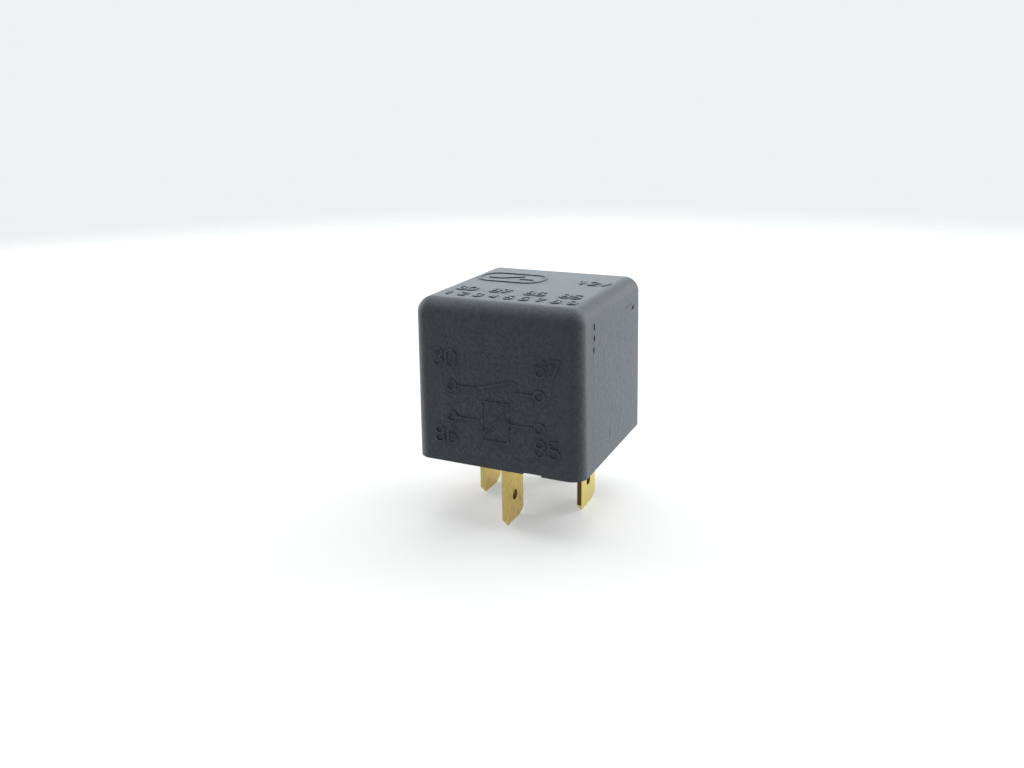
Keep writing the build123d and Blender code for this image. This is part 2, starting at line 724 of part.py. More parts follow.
# Braid: welded to the link of terminal 30, over the coil's corner, and along the top of the spring
braid_x = link_x + tab_thickness / 2 + braid_radius
braid_lift = spring_top + braid_radius
weld_start = on_arm(spring_tip_width / 2 + braid_weld / 2, braid_reach, braid_lift)
weld_end = on_arm(spring_tip_width / 2 - braid_weld, braid_reach, braid_lift)
crown_y = (terminal_30_y + weld_start.Y) / 2 + braid_crown_setback
braid_route = [
    (braid_x, terminal_30_y, link_top - braid_weld),
    (braid_x, terminal_30_y, link_top + braid_weld / 2),
    (braid_x, terminal_30_y + braid_shoulder_setback, pole_top),
    (braid_x - braid_crown_inset, crown_y, weld_start.Z - braid_crown_drop),
    (weld_start.X, weld_start.Y, weld_start.Z),
    (weld_end.X, weld_end.Y, weld_end.Z),
]
with BuildPart() as braid:
    with BuildLine() as braid_line:
        FilletPolyline(*braid_route, radius=bend_radii(braid_route))
    with BuildSketch(Plane(braid_line.line @ 0, z_dir=braid_line.line % 0)):
        Circle(braid_radius)
    sweep()

# Stop bracket: a bent strip in the base's slot, its arm just above the moving contact's tail
tail_edge = on_arm(0, contact_reach + contact_tail_radius, spring_top + contact_tail_height)
stop_middle = tail_edge.Z + stop_gap + stop_thickness / 2
with BuildPart() as stop_bracket:
    with BuildSketch(Plane.YZ):
        with BuildLine():
            FilletPolyline(
                (stop_y, base_top - stop_slot_depth),
                (stop_y, stop_middle),
                (contact_y - stop_overlap, stop_middle),
                radius=strip_bend_radius,
            )
        trace(line_width=stop_thickness)
    extrude(amount=stop_width / 2, both=True)

pieces = {
    "cover": cover,
    "base": base,
    "terminal_30": terminal_30,
    "terminal_87": terminal_87,
    "yoke": yoke,
    "core": core,
    "bobbin": bobbin,
    "coil_winding": coil_winding,
    "armature": armature,
    "contact_spring": contact_spring,
    "armature_rivets": armature_rivets,
    "yoke_rivets": yoke_rivets,
    "moving_contact": moving_contact,
    "fixed_contact": fixed_contact,
    "braid": braid,
    "stop_bracket": stop_bracket,
}
for piece_name, piece in pieces.items():
    piece.part.label = piece_name
    export_step(piece.part, f"parts/{piece_name}.step")
print("relay", cover_width, cover_depth, round(top_z, 2))
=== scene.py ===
# %% [markdown]
# # A plug-in relay
# A relay of this kind is a small moulded box with four flat brass tabs below. A coil inside
# pulls an iron plate, and the plate closes a contact. The construction model gives every piece
# its size and its place. Here the pieces get their finishes, the soft and woven ones are made
# again in mesh code, and a camera and a light are set up.

import json
from math import cos, pi, radians, sin

import bmesh
import bpy
from mathutils import Matrix, Vector


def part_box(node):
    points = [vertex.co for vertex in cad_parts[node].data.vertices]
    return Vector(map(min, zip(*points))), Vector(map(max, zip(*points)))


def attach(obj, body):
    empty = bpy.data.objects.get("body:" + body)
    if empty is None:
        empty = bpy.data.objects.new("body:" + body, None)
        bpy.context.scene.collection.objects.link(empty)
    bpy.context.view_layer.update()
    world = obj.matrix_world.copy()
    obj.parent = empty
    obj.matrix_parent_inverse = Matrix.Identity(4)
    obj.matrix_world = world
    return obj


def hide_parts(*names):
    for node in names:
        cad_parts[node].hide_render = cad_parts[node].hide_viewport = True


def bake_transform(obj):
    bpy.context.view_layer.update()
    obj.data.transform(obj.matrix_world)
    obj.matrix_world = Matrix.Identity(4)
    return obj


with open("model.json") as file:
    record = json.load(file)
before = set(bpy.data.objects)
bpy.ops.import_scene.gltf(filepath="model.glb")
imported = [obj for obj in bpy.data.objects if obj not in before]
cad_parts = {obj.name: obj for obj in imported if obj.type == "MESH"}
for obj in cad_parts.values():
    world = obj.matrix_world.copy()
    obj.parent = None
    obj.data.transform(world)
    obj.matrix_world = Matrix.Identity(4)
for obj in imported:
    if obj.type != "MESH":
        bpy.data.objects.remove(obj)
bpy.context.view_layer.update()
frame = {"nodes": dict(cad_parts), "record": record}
nodes = frame["nodes"]
MM = 0.001
mounts = {mount["name"]: mount for mount in frame["record"]["mounts"]}
RIM_Z = mounts["socket_seat"]["pos_m"][2]

# %% [markdown]
# ## Colours and nodes
# A colour picked from a picture is an sRGB value, and a shader works with linear ones. One
# function turns the first into the second. A second one adds a node, sets its fields and fills
# its sockets with a value or with the output of another node, so a material reads from top to
# bottom like a recipe.

# %% Colours and nodes
def linear(hex_colour):
    """A hex colour such as #808080 as linear red, green, blue and alpha."""
    shares = [int(hex_colour[k : k + 2], 16) / 255 for k in (1, 3, 5)]
    curve = [s / 12.92 if s <= 0.04045 else ((s + 0.055) / 1.055) ** 2.4 for s in shares]
    return (*curve, 1.0)


def add_node(tree, kind, inputs=None, **fields):
    """Add a node to a tree. Each input is a value, or a socket to link from."""
    node = tree.nodes.new("ShaderNode" + kind)
    for name, value in fields.items():
        setattr(node, name, value)
    for name, value in (inputs or {}).items():
        if isinstance(value, bpy.types.NodeSocket):
            tree.links.new(value, node.inputs[name])
        else:
            node.inputs[name].default_value = value
    return node


def new_material(name, **fixed):
    """A material with one Principled shader. Sockets that are the same all over are set here."""
    material = bpy.data.materials.new(name)
    material.use_nodes = True
    tree = material.node_tree
    shader = tree.nodes["Principled BSDF"]
    for socket, value in fixed.items():
        shader.inputs[socket.replace("_", " ")].default_value = value
    return material, tree, shader


# Sockets of the Mix node when it mixes colours: its factor, its two colours and its result
FACTOR, FIRST, SECOND, MIXED = 0, 6, 7, 2
print("a mid grey is", [round(v, 3) for v in linear("#808080")[:3]])

# %% [markdown]
# ## The camera
# The picture was taken close up with a wide lens, from a little to the right of the front and
# from above. The angles and lengths below come from a fit of the box's edges. The camera
# looks at a point on the relay's axis, 6.5 mm above the rim. It sits a little right of the
# picture's middle and below it, so the aim is turned by that many pixels instead of shifting
# the lens.

# %% Camera
IMAGE_WIDTH, IMAGE_HEIGHT = 1024, 768
FOCAL_PIXELS = 876.9
AIM_PIXEL = (533.5, 400.2)
AIM_POINT = Vector((0, 0, RIM_Z + 6.5 * MM))
CAMERA_DEPTH = 143.5 * MM
camera_yaw, camera_pitch, camera_roll = radians(25.54), radians(18.37), radians(-1.08)

turn = Matrix.Rotation(camera_yaw, 4, "Z") @ Matrix.Rotation(pi / 2 - camera_pitch, 4, "X")
turn = turn @ Matrix.Rotation(camera_roll, 4, "Z")
aim_right = (AIM_PIXEL[0] - IMAGE_WIDTH / 2) / FOCAL_PIXELS
aim_down = (AIM_PIXEL[1] - IMAGE_HEIGHT / 2) / FOCAL_PIXELS
to_aim = turn @ Vector((aim_right, -aim_down, -1))
camera_data = bpy.data.cameras.new("camera")
camera_data.sensor_width = 36
camera_data.lens = FOCAL_PIXELS / IMAGE_WIDTH * camera_data.sensor_width
camera_data.clip_start, camera_data.clip_end = 0.005, 20
camera = bpy.data.objects.new("camera", camera_data)
camera.matrix_world = Matrix.Translation(AIM_POINT - to_aim * CAMERA_DEPTH) @ turn
bpy.context.scene.collection.objects.link(camera)
bpy.context.scene.camera = camera
print("camera at, mm:", [round(v / MM, 1) for v in camera.matrix_world.translation])

# %% [markdown]
# ## Floor
# The relay stands on a white sheet in a white room. The sheet takes real light and shadow. A
# little glow is added for what the camera and the reflections see, so that it photographs as
# white without more light on the relay. Far from the relay the sheet fades out, so that no
# horizon cuts the picture.

# %% Floor
def link_piece(name, bm, material):
    """Turn a bmesh into an object at the origin, with one material."""
    mesh = bpy.data.meshes.new(name)
    bm.to_mesh(mesh)
    bm.free()
    mesh.materials.append(material)
    piece = bpy.data.objects.new(name, mesh)
    bpy.context.scene.collection.objects.link(piece)
    return piece


SHEET_HALF_WIDTH, FADE_START, FADE_END = 0.6, 0.2, 0.42
paper, tree, shader = new_material("white_paper_sheet", Roughness=0.9)
shader.inputs["Base Color"].default_value = linear("#C0C1C1")
shader.inputs["Specular IOR Level"].default_value = 0.2
path = add_node(tree, "LightPath").outputs
seen = add_node(tree, "Math", {0: path["Is Camera Ray"], 1: path["Is Glossy Ray"]}, operation="MAXIMUM")
seen = add_node(tree, "Math", {0: seen.outputs[0], 1: path["Is Transmission Ray"]}, operation="MAXIMUM")
dark = add_node(tree, "Emission", {"Strength": 0.0})
glow = add_node(tree, "Emission", {"Color": linear("#FBFDFD"), "Strength": 0.4})
lift = add_node(tree, "MixShader", {0: seen.outputs[0], 1: dark.outputs[0], 2: glow.outputs[0]})
lit = add_node(tree, "AddShader", {0: shader.outputs[0], 1: lift.outputs[0]})
place = add_node(tree, "TexCoord").outputs["Object"]
reach = add_node(tree, "VectorMath", {0: place}, operation="LENGTH")
fade = add_node(
    tree,
    "MapRange",
    {"Value": reach.outputs["Value"], "From Min": FADE_START, "From Max": FADE_END},
    interpolation_type="SMOOTHSTEP",
)
clear = add_node(tree, "BsdfTransparent")
sheet_look = add_node(tree, "MixShader", {0: fade.outputs[0], 1: lit.outputs[0], 2: clear.outputs[0]})
tree.links.new(sheet_look.outputs[0], tree.nodes["Material Output"].inputs["Surface"])

bm = bmesh.new()
bmesh.ops.create_grid(bm, x_segments=2, y_segments=2, size=SHEET_HALF_WIDTH)
sheet = link_piece("white_sheet", bm, paper)
print("sheet, mm:", round(2 * SHEET_HALF_WIDTH / MM))

# %% [markdown]
# ## Light
# The picture has the soft light of a white room, with nearly all of it from above, so the front
# is in shade and the shadow lies round the tabs and a little forwards. The white room is the
# world. The main light is a very wide sun, almost overhead, so that the floor is as bright far
# away as it is near, and its shadow is as soft as a window's. Three panels help it: one low
# behind on the left, which skims the top and makes its plastic pale, one on the left for the
# left corner, and one behind on the right, which lights the right wall and leaves the rounded
# corner beside the front dark.

# %% Light
ROOM_LIGHT, SUN_LIGHT, SUN_WIDTH = 0.08, 2.5, 66
SUN_FROM = Vector((0.12, 0.22, 0.97))
world = bpy.data.worlds.new("white_room")
bpy.context.scene.world = world
world.use_nodes = True
tree = world.node_tree
path = add_node(tree, "LightPath").outputs
seen = add_node(tree, "Math", {0: path["Is Camera Ray"], 1: path["Is Glossy Ray"]}, operation="MAXIMUM")
seen = add_node(tree, "Math", {0: seen.outputs[0], 1: path["Is Transmission Ray"]}, operation="MAXIMUM")
room = add_node(tree, "Background", {"Color": linear("#F8FAFC"), "Strength": ROOM_LIGHT})
walls = add_node(tree, "Background", {"Color": linear("#EEF1F2"), "Strength": 1.0})
both = add_node(tree, "MixShader", {0: seen.outputs[0], 1: room.outputs[0], 2: walls.outputs[0]})
tree.links.new(both.outputs[0], tree.nodes["World Output"].inputs["Surface"])

sun_data = bpy.data.lights.new("main_light", "SUN")
sun_data.energy = SUN_LIGHT
sun_data.angle = radians(SUN_WIDTH)
sun = bpy.data.objects.new("main_light", sun_data)
sun.matrix_world = SUN_FROM.to_track_quat("Z", "Y").to_matrix().to_4x4()
bpy.context.scene.collection.objects.link(sun)
for name, power, size, position in (
    ("back_panel", 0.42, 0.26, Vector((-0.2, 0.43, 0.2))),
    ("left_panel", 1.1, 0.25, Vector((-0.38, 0.03, 0.16))),
    ("right_panel", 1.25, 0.2, Vector((0.31, 0.29, 0.16))),
):
    panel_data = bpy.data.lights.new(name, "AREA")
    panel_data.energy = power
    panel_data.size = size
    panel = bpy.data.objects.new(name, panel_data)
    facing = (position - AIM_POINT).to_track_quat("Z", "Y").to_matrix().to_4x4()
    panel.matrix_world = Matrix.Translation(position) @ facing
    panel.visible_camera = False
    bpy.context.scene.collection.objects.link(panel)
bpy.context.scene.view_settings.view_transform = "Standard"
print("light from", [round(v, 2) for v in sun.matrix_world.col[2][:3]])

# %% [markdown]
# ## A black card
# A photographer keeps a dark surface dark by holding something black where it would mirror the
# white room. Here a felt card stands in front of the relay, out of the picture. It keeps the
# front's reflections quiet, so that its marks stay crisp.

# %% Black card
CARD_HALF_WIDTH, CARD_HEIGHT_SHARE, CARD_AT = 0.5, 0.6, Vector((0.15, -0.5, 0.3))
felt, tree, shader = new_material("black_felt", Roughness=1.0)
shader.inputs["Base Color"].default_value = linear("#0A0A0A")
shader.inputs["Specular IOR Level"].default_value = 0.0
bm = bmesh.new()
bmesh.ops.create_grid(bm, x_segments=1, y_segments=1, size=CARD_HALF_WIDTH)
bmesh.ops.rotate(bm, verts=bm.verts, matrix=Matrix.Rotation(pi / 2, 3, "X"))
bmesh.ops.scale(bm, verts=bm.verts, vec=(1, 1, CARD_HEIGHT_SHARE))
bmesh.ops.translate(bm, verts=bm.verts, vec=CARD_AT)
card = link_piece("black_card", bm, felt)
card.visible_camera = False
print("card, mm:", round(2 * CARD_HALF_WIDTH / MM), "x", round(2 * CARD_HALF_WIDTH * CARD_HEIGHT_SHARE / MM))

# %% [markdown]
# ## The cover's plastic
# The cover is glass-filled nylon, moulded in a tool whose panels were roughened by sparks. Such
# a wall is matte seen straight on and a little paler at a low angle, which a sheen gives. Round
# the panels and on the top the tool is smoother, so the grain is fainter there.
#
# A panel is found by its place alone: a point is on one if it lies less than half a panel from
# its middle both ways. Only one of X and Y can be that near on any wall, so the smaller share
# of the two counts.

# %% Where the panels are
PANEL_HALF = Vector((9.2, 9.5, 10.1)) * MM
PANEL_MIDDLE = Vector((0, 0, RIM_Z + 11.7 * MM))
EDGE_START = 0.97
nylon, tree, shader = new_material(
    "spark_textured_nylon", IOR=1.53, Specular_IOR_Level=0.2, Sheen_Weight=0.4, Sheen_Roughness=0.5
)
shader.inputs["Sheen Tint"].default_value = linear("#E4F3FF")
place = add_node(tree, "TexCoord").outputs["Object"]
from_middle = add_node(tree, "VectorMath", {0: place, 1: PANEL_MIDDLE}, operation="SUBTRACT")
shares = add_node(tree, "VectorMath", {0: from_middle.outputs[0], 1: PANEL_HALF}, operation="DIVIDE")
shares = add_node(tree, "VectorMath", {0: shares.outputs[0]}, operation="ABSOLUTE")
shares = add_node(tree, "SeparateXYZ", {0: shares.outputs[0]})
sideways = add_node(tree, "Math", {0: shares.outputs["X"], 1: shares.outputs["Y"]}, operation="MINIMUM")
furthest = add_node(tree, "Math", {0: sideways.outputs[0], 1: shares.outputs["Z"]}, operation="MAXIMUM")
on_panel = add_node(
    tree,
    "MapRange",
    {"Value": furthest.outputs[0], "From Min": EDGE_START, "From Max": 1.0, "To Min": 1.0, "To Max": 0.0},
).outputs[0]

print("panels, mm:", [round(2 * v / MM, 1) for v in PANEL_HALF])

# %% [markdown]
# ## Wear and painted pit shade on the cover
# The right wall has three small chips down the edge of its panel and a nick near the back. They
# are cut in the construction model, and here their floors are painted nearly black as shade. A
# thin dark streak beside the nick and a short dark tick low down are too shallow to cut, so they
# are paint only. Each is a place that is painted darker and a little sunk in the bump. An
# ellipsoid finds it: the distance to its middle is divided by its half sizes, and noise is added
# so that its edge is ragged. The table gives each middle, up from the rim, each three half sizes,
# all in millimetres, and how dark the place is.

# %% Dark places and painted pit shade
DARK_PLACES_AND_PITS = (
    ((13.5, -8.8, 22.3), (1.0, 0.3, 0.65), 1.0),
    ((13.5, -8.95, 20.65), (1.0, 0.3, 0.6), 1.0),
    ((13.5, -9.1, 18.95), (1.0, 0.27, 0.5), 0.8),
    ((13.5, 9.1, 21.2), (1.0, 0.8, 0.4), 1.0),
    ((13.6, 6.7, 21.9), (1.0, 1.9, 0.2), 0.6),
    ((13.9, -2.5, 3.65), (1.0, 0.3, 0.7), 0.6),
)
dust = add_node(tree, "TexNoise", {"Vector": place, "Scale": 1 / (0.5 * MM), "Detail": 3.0, "Roughness": 0.6})
pit_shade_and_dark_marks = 0.0
for middle, half_size, depth in DARK_PLACES_AND_PITS:
    middle = Vector(middle) * MM + Vector((0, 0, RIM_Z))
    offset = add_node(tree, "VectorMath", {0: place, 1: middle}, operation="SUBTRACT")
    half_size = Vector(half_size) * MM
    offset = add_node(tree, "VectorMath", {0: offset.outputs[0], 1: half_size}, operation="DIVIDE")
    reach = add_node(tree, "VectorMath", {0: offset.outputs[0]}, operation="LENGTH")
    ragged = add_node(tree, "Math", {0: reach.outputs["Value"], 1: dust.outputs["Fac"]}, operation="ADD")
    spot = add_node(
        tree,
        "MapRange",
        {"Value": ragged.outputs[0], "From Min": 1.3, "From Max": 1.6, "To Min": depth, "To Max": 0.0},
    )
    pit_shade_and_dark_marks = add_node(tree, "Math", {0: pit_shade_and_dark_marks, 1: spot.outputs[0]}, operation="MAXIMUM").outputs[0]
print("worn places:", len(DARK_PLACES_AND_PITS))

# %% [markdown]
# ## Grain
# The grain is a field of small craters with dust in them: a Voronoi pattern and a noise drive a
# bump, and the same noise moves the grey. Real craters are 0.1 mm across, too fine to show here,
# so they are drawn at 0.35 mm. The pattern's mean is taken off before it is scaled, or the bump
# would show a step where strong grain meets faint grain. The chips, the nick and the dark marks
# are sunk in the same bump.

# %% Grain and colour
CRATER, CLOUD, MEAN_RELIEF = 0.35 * MM, 1.4 * MM, 0.85
PIT_DEPTH, BUMP_HEIGHT, FAINT_GRAIN = 2.0, 0.065 * MM, 0.6
craters = add_node(tree, "TexVoronoi", {"Vector": place, "Scale": 1 / CRATER}, feature="SMOOTH_F1")
cloud = add_node(tree, "TexNoise", {"Vector": place, "Scale": 1 / CLOUD, "Detail": 4.0})
grain_share = add_node(tree, "MapRange", {"Value": on_panel, "To Min": FAINT_GRAIN, "To Max": 1.0})
stretched = add_node(tree, "MapRange", {"Value": dust.outputs["Fac"], "From Min": 0.34, "From Max": 0.66})
mottle = add_node(
    tree, "MapRange", {"Value": grain_share.outputs[0], "To Min": 0.5, "To Max": stretched.outputs[0]}
)
mottle = add_node(tree, "Math", {0: mottle.outputs[0], 1: cloud.outputs["Fac"]}, operation="ADD")
mottle = add_node(tree, "Math", {0: mottle.outputs[0], 1: 0.5}, operation="MULTIPLY")
grey = add_node(
    tree,
    "Mix",
    {FACTOR: mottle.outputs[0], FIRST: linear("#34383C"), SECOND: linear("#60656A")},
    data_type="RGBA",
)
# Painted shade: the floors of the cut chips and nick are mixed towards near-black, and so are the dark streak
# and tick.
grey_with_pit_shade_and_marks = add_node(
    tree,
    "Mix",
    {FACTOR: pit_shade_and_dark_marks, FIRST: grey.outputs[MIXED], SECOND: linear("#08090A")},
    data_type="RGBA",
)
relief = add_node(tree, "Math", {0: craters.outputs["Distance"], 1: dust.outputs["Fac"]}, operation="ADD")
relief = add_node(tree, "Math", {0: relief.outputs[0], 1: MEAN_RELIEF}, operation="SUBTRACT")
relief = add_node(tree, "Math", {0: relief.outputs[0], 1: grain_share.outputs[0]}, operation="MULTIPLY")
pit = add_node(tree, "Math", {0: pit_shade_and_dark_marks, 1: PIT_DEPTH}, operation="MULTIPLY")
relief = add_node(tree, "Math", {0: relief.outputs[0], 1: pit.outputs[0]}, operation="SUBTRACT")
bump = add_node(tree, "Bump", {"Height": relief.outputs[0], "Strength": 1.0, "Distance": BUMP_HEIGHT})
rough = add_node(tree, "MapRange", {"Value": cloud.outputs["Fac"], "To Min": 0.52, "To Max": 0.68})
tree.links.new(rough.outputs[0], shader.inputs["Roughness"])
tree.links.new(bump.outputs["Normal"], shader.inputs["Normal"])
print("craters, mm:", round(CRATER / MM, 2), "relief, mm:", round(BUMP_HEIGHT / MM, 3))

# %% [markdown]
# ## Painted shade on the marks
# The marks are of the same plastic as the wall and stand a fifth of a millimetre out. Their upper
# ledges are painted dark as shade, which draws the circuit in fine dark lines. A ledge is found
# by its place and its slope: it stands further out than the panel does, and it faces up. The wall
# leans back as it rises, so how far out a point stands is measured along that lean. The numbers
# are at the sides, above and below the circuit, and their ledges get only a quarter of that
# painted shade.

# %% Painted ledge shade
WALL_SLOPE, MARK_START = 0.0201, 14.13 * MM
LEDGE_FROM, LEDGE_FULL = 0.3, 0.6
NUMBERS_FROM_X, CIRCUIT_MIDDLE, CIRCUIT_HALF_HEIGHT, NUMBER_SHADE_SHARE = 6 * MM, -1.2 * MM, 4.3 * MM, 0.25
at = add_node(tree, "SeparateXYZ", {0: from_middle.outputs[0]}).outputs
drawn_back = add_node(tree, "Math", {0: at["Z"], 1: WALL_SLOPE}, operation="MULTIPLY")
outward = add_node(tree, "Math", {0: drawn_back.outputs[0], 1: at["Y"]}, operation="SUBTRACT")
raised = add_node(tree, "Math", {0: outward.outputs[0], 1: MARK_START}, operation="GREATER_THAN")
facing = add_node(tree, "SeparateXYZ", {0: add_node(tree, "NewGeometry").outputs["Normal"]}).outputs
ledge = add_node(tree, "MapRange", {"Value": facing["Z"], "From Min": LEDGE_FROM, "From Max": LEDGE_FULL})
beside = add_node(tree, "Math", {0: at["X"]}, operation="ABSOLUTE")
beside = add_node(tree, "Math", {0: beside.outputs[0], 1: NUMBERS_FROM_X}, operation="GREATER_THAN")
off_rows = add_node(tree, "Math", {0: at["Z"], 1: CIRCUIT_MIDDLE}, operation="SUBTRACT")
off_rows = add_node(tree, "Math", {0: off_rows.outputs[0]}, operation="ABSOLUTE")
off_rows = add_node(tree, "Math", {0: off_rows.outputs[0], 1: CIRCUIT_HALF_HEIGHT}, operation="GREATER_THAN")
numbers = add_node(tree, "Math", {0: beside.outputs[0], 1: off_rows.outputs[0]}, operation="MULTIPLY")
ledge_shade_share = add_node(tree, "MapRange", {"Value": numbers.outputs[0], "To Min": 1.0, "To Max": NUMBER_SHADE_SHARE})
painted_ledge_shade = add_node(tree, "Math", {0: raised.outputs[0], 1: ledge.outputs[0]}, operation="MULTIPLY")
painted_ledge_shade = add_node(tree, "Math", {0: painted_ledge_shade.outputs[0], 1: ledge_shade_share.outputs[0]}, operation="MULTIPLY")
# Painted shade: ledges that face up and stand out from the panel are mixed towards near-black.
shaded_ledge_colour = add_node(
    tree,
    "Mix",
    {FACTOR: painted_ledge_shade.outputs[0], FIRST: grey_with_pit_shade_and_marks.outputs[MIXED], SECOND: linear("#0C0D0E")},
    data_type="RGBA",
)
tree.links.new(shaded_ledge_colour.outputs[MIXED], shader.inputs["Base Color"])


def finish_node(name, material):
    """Give a node of the construction model its finish."""
    mesh_object = nodes[name]
    for slot in mesh_object.material_slots:
        slot.material = material


finish_node("base", nylon)

# %% [markdown]
# ## Edges that catch the light
# A moulded or stamped edge is never knife sharp, and it is the thin bright line on it that makes
# a small part look real. The nodes come as loose triangles, so a copy is welded first, its flat
# areas are made one face each, and every sharp outer edge gets a narrow bevel. Inner corners
# stay as they are, so that a mark meets its wall in a fine dark line. A weighted normal keeps the
# flat faces flat and lets only the bevels turn.

# %% Bevelled copies
WELD_DISTANCE, FLAT_ANGLE, SHARP_ANGLE = 0.001 * MM, radians(1), radians(40)


def welded_copy(name):
    """A node's mesh with its triangles joined and its flat areas made one face each."""
    bm = bmesh.new()
    bm.from_mesh(nodes[name].data)
    bmesh.ops.remove_doubles(bm, verts=bm.verts, dist=WELD_DISTANCE)
    bmesh.ops.dissolve_limit(bm, angle_limit=FLAT_ANGLE, verts=bm.verts, edges=bm.edges)
    return bm


def shade(piece, sharp_angle):
    """Smooth shading that breaks at edges sharper than an angle, with the flat faces kept flat."""
    mesh = piece.data
    if "custom_normal" in mesh.attributes:
        mesh.attributes.remove(mesh.attributes["custom_normal"])
    mesh.shade_smooth()
    mesh.set_sharp_from_angle(angle=radians(sharp_angle))
    piece.modifiers.new("flat_faces", "WEIGHTED_NORMAL").keep_sharp = True


def bevelled(node, piece_name, width, material, body="housing"):
    """A piece in place of a node, the same but with its sharp outer edges bevelled."""
    bm = welded_copy(node)
    sharp = [e for e in bm.edges if e.is_convex and e.calc_face_angle(0) > SHARP_ANGLE]
    bmesh.ops.bevel(
        bm,
        geom=sharp,
        offset=width,
        offset_type="OFFSET",
        affect="EDGES",
        segments=2,
        profile=0.5,
        material=-1,
        clamp_overlap=True,
    )
    piece = link_piece(piece_name, bm, material)
    shade(piece, 50)
    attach(piece, body)
    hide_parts(node)
    return piece


cover_shell = bevelled("cover", "cover_shell", 0.04 * MM, nylon)
print("cover shell faces:", len(cover_shell.data.polygons))

# %% [markdown]
# ## Brass tabs
# The tabs are stamped from half-hard brass strip. Rolling leaves fine lines along the strip, the
# sheared sides and the hole are rough and dark, and handling leaves small brown streaks and a
# brown tip. The front and the left tab are stained and the right one is clean, so one function
# makes every finish from a share of tarnish and the tone of the sheared sides.
#
# The rolling lines are noise stretched along the tab, 0.12 mm across and 3 mm long, and the
# streaks are 0.3 mm across and 1.2 mm long.

# %% Brass
TAB_HALF_WIDTH, HOLE_RADIUS, HOLE_HEIGHT = 3.15 * MM, 0.8 * MM, 4.5 * MM
LINE_SIZE, STREAK_SIZE, BLOTCH = (0.12, 0.12, 3), (0.3, 0.3, 1.2), 1.6 * MM
LINES_PER_METRE = Vector([1 / size for size in LINE_SIZE]) / MM
STREAKS_PER_METRE = Vector([1 / size for size in STREAK_SIZE]) / MM
SIDE_FROM, SIDE_FULL = TAB_HALF_WIDTH - 0.05 * MM, TAB_HALF_WIDTH - 0.01 * MM


def rolled_brass(name, tab, wide_axis, tarnish, light, dark, side_tone, tint):
    """Brass strip between two tones, with sheared sides, a dark hole and a share of tarnish."""
    material, tree, shader = new_material(name, Metallic=1.0)
    shader.inputs["Specular Tint"].default_value = linear(tint)
    place = add_node(tree, "TexCoord").outputs["Object"]
    lines = add_node(tree, "Mapping", {"Vector": place, "Scale": LINES_PER_METRE})
    lines = add_node(tree, "TexNoise", {"Vector": lines.outputs[0], "Scale": 1.0, "Detail": 3.0})
    streaks = add_node(tree, "Mapping", {"Vector": place, "Scale": STREAKS_PER_METRE})
    streaks = add_node(tree, "TexNoise", {"Vector": streaks.outputs[0], "Scale": 1.0, "Detail": 4.0})
    blotches = add_node(tree, "TexNoise", {"Vector": place, "Scale": 1 / BLOTCH, "Detail": 4.0})

    tab_middle = Vector(mounts[tab]["pos_m"])
    offset = add_node(tree, "VectorMath", {0: place, 1: tab_middle}, operation="SUBTRACT")
    offset = add_node(tree, "SeparateXYZ", {0: offset.outputs[0]})
    height, sideways = offset.outputs["Z"], offset.outputs[wide_axis]
    out = add_node(tree, "Math", {0: sideways}, operation="ABSOLUTE")
    side = add_node(
        tree, "MapRange", {"Value": out.outputs[0], "From Min": SIDE_FROM, "From Max": SIDE_FULL}
    )
    over_hole = add_node(tree, "Math", {0: height, 1: HOLE_HEIGHT}, operation="SUBTRACT")
    to_hole = add_node(tree, "CombineXYZ", {"X": sideways, "Z": over_hole.outputs[0]})
    to_hole = add_node(tree, "VectorMath", {0: to_hole.outputs[0]}, operation="LENGTH")
    hole = add_node(
        tree,
        "MapRange",
        {
            "Value": to_hole.outputs["Value"],
            "From Min": HOLE_RADIUS + 0.02 * MM,
            "From Max": HOLE_RADIUS + 0.08 * MM,
            "To Min": 1.0,
            "To Max": 0.0,
        },
    )
    near_tip = add_node(tree, "MapRange", {"Value": height, "From Max": 2 * MM, "To Min": 0.2, "To Max": 0.0})
    blotch = add_node(tree, "Math", {0: blotches.outputs["Fac"], 1: near_tip.outputs[0]}, operation="ADD")
    blotch = add_node(
        tree, "MapRange", {"Value": blotch.outputs[0], "From Min": 0.6, "From Max": 0.85, "To Max": tarnish}
    )
    streak = add_node(
        tree,
        "MapRange",
        {"Value": streaks.outputs["Fac"], "From Min": 0.6, "From Max": 0.7, "To Max": tarnish},
    )
    stain = add_node(tree, "Math", {0: blotch.outputs[0], 1: streak.outputs[0]}, operation="MAXIMUM")

    lined = add_node(
        tree,
        "Mix",
        {FACTOR: lines.outputs["Fac"], FIRST: linear(light), SECOND: linear(dark)},
        data_type="RGBA",
    )
    stained = add_node(
        tree,
        "Mix",
        {FACTOR: stain.outputs[0], FIRST: lined.outputs[MIXED], SECOND: linear("#6B5426")},
        data_type="RGBA",
    )
    sheared = add_node(
        tree,
        "Mix",
        {FACTOR: side.outputs[0], FIRST: stained.outputs[MIXED], SECOND: linear(side_tone)},
        data_type="RGBA",
    )
    bored = add_node(
        tree,
        "Mix",
        {FACTOR: hole.outputs[0], FIRST: sheared.outputs[MIXED], SECOND: linear("#8A7638")},
        data_type="RGBA",
    )
    dull = add_node(tree, "Math", {0: side.outputs[0], 1: hole.outputs[0]}, operation="MAXIMUM")
    dull = add_node(tree, "Math", {0: dull.outputs[0], 1: stain.outputs[0]}, operation="MAXIMUM")
    rough = add_node(tree, "MapRange", {"Value": dull.outputs[0], "To Min": 0.3, "To Max": 0.55})
    bump = add_node(tree, "Bump", {"Height": lines.outputs["Fac"], "Strength": 0.25, "Distance": 0.02 * MM})
    tree.links.new(bored.outputs[MIXED], shader.inputs["Base Color"])
    tree.links.new(rough.outputs[0], shader.inputs["Roughness"])
    tree.links.new(bump.outputs["Normal"], shader.inputs["Normal"])
    return material


